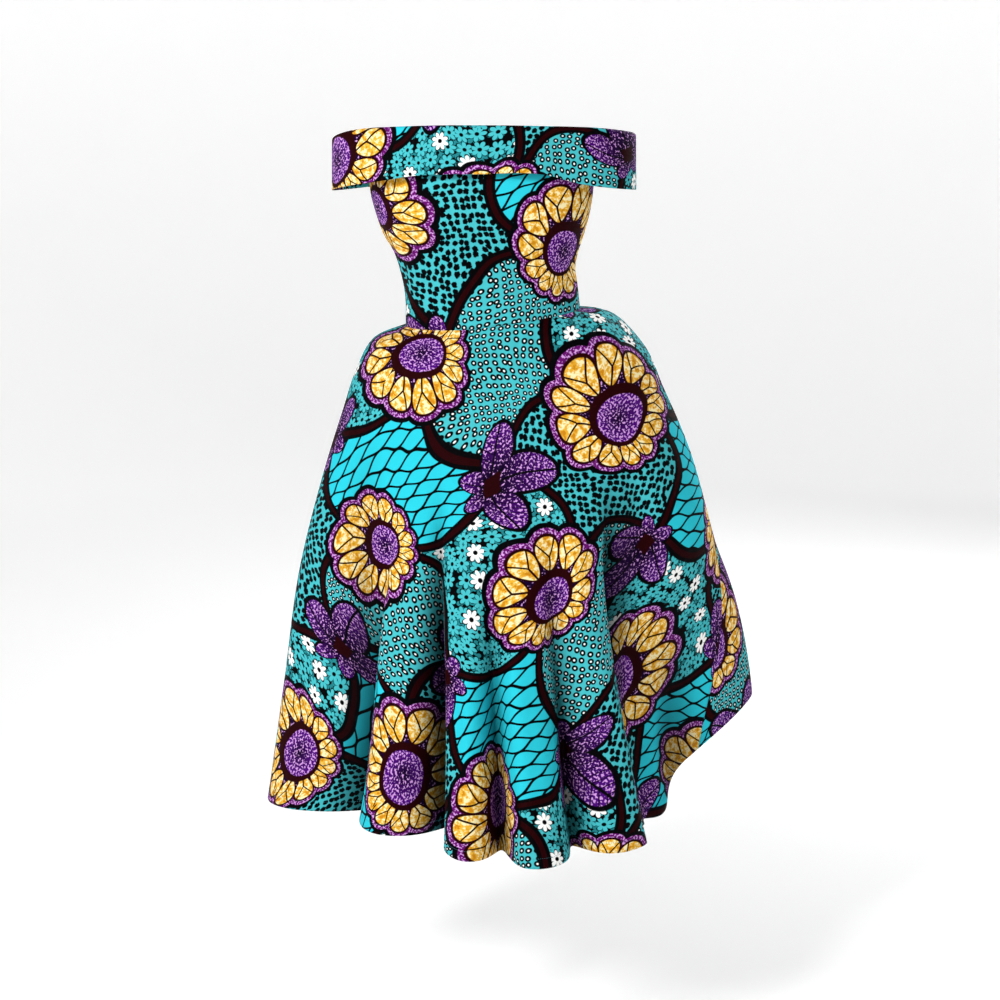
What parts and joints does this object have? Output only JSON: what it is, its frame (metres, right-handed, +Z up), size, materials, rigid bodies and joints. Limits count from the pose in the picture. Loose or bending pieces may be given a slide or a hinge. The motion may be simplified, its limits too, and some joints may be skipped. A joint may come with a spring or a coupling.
{
  "type": "off-shoulder ankara wax print dress",
  "caption": "Worn, hollow midi dress with a fold-over off-shoulder collar, a fitted bodice, a full flared skirt and a centre-back zip.",
  "frame": {"origin": "the middle of the waist seam, where the wearer's waist holds the dress up", "axes": "+Z runs up the dress from hem to collar; -Y is the front; +X is the wearer's left, the side on which the skirt is lifted"},
  "size_m": [0.7143, 0.5918, 0.9721],
  "materials": {
    "wax_print_cotton": "crisp plain-weave cotton with a wax print in cyan, teal, purple, gold and near-black, faint sheen",
    "zip_tape": "matt woven polyester tape with a nylon coil",
    "zip_metal": "polished brass, lightly worn"
  },
  "bodies": {
    "dress": {"bodice_front": "wax_print_cotton", "bodice_back_left": "wax_print_cotton", "bodice_back_right": "wax_print_cotton", "collar_front": "wax_print_cotton", "collar_back_left": "wax_print_cotton", "collar_back_right": "wax_print_cotton", "skirt_front": "wax_print_cotton", "skirt_back_left": "wax_print_cotton", "skirt_back_right": "wax_print_cotton", "zip_tape": "zip_tape", "zip_slider": "zip_metal"},
    "pull_tab": {"zip_pull": "zip_metal"}
  },
  "joints": [
    {"name": "pull_tab_swing", "type": "hinge", "parent": "dress", "child": "pull_tab", "pos_m": [-0.01069, 0.10872, 0.23949], "axis": [0.9994, 0.0002, -0.034], "range_deg": [0, 100]}
  ]
}
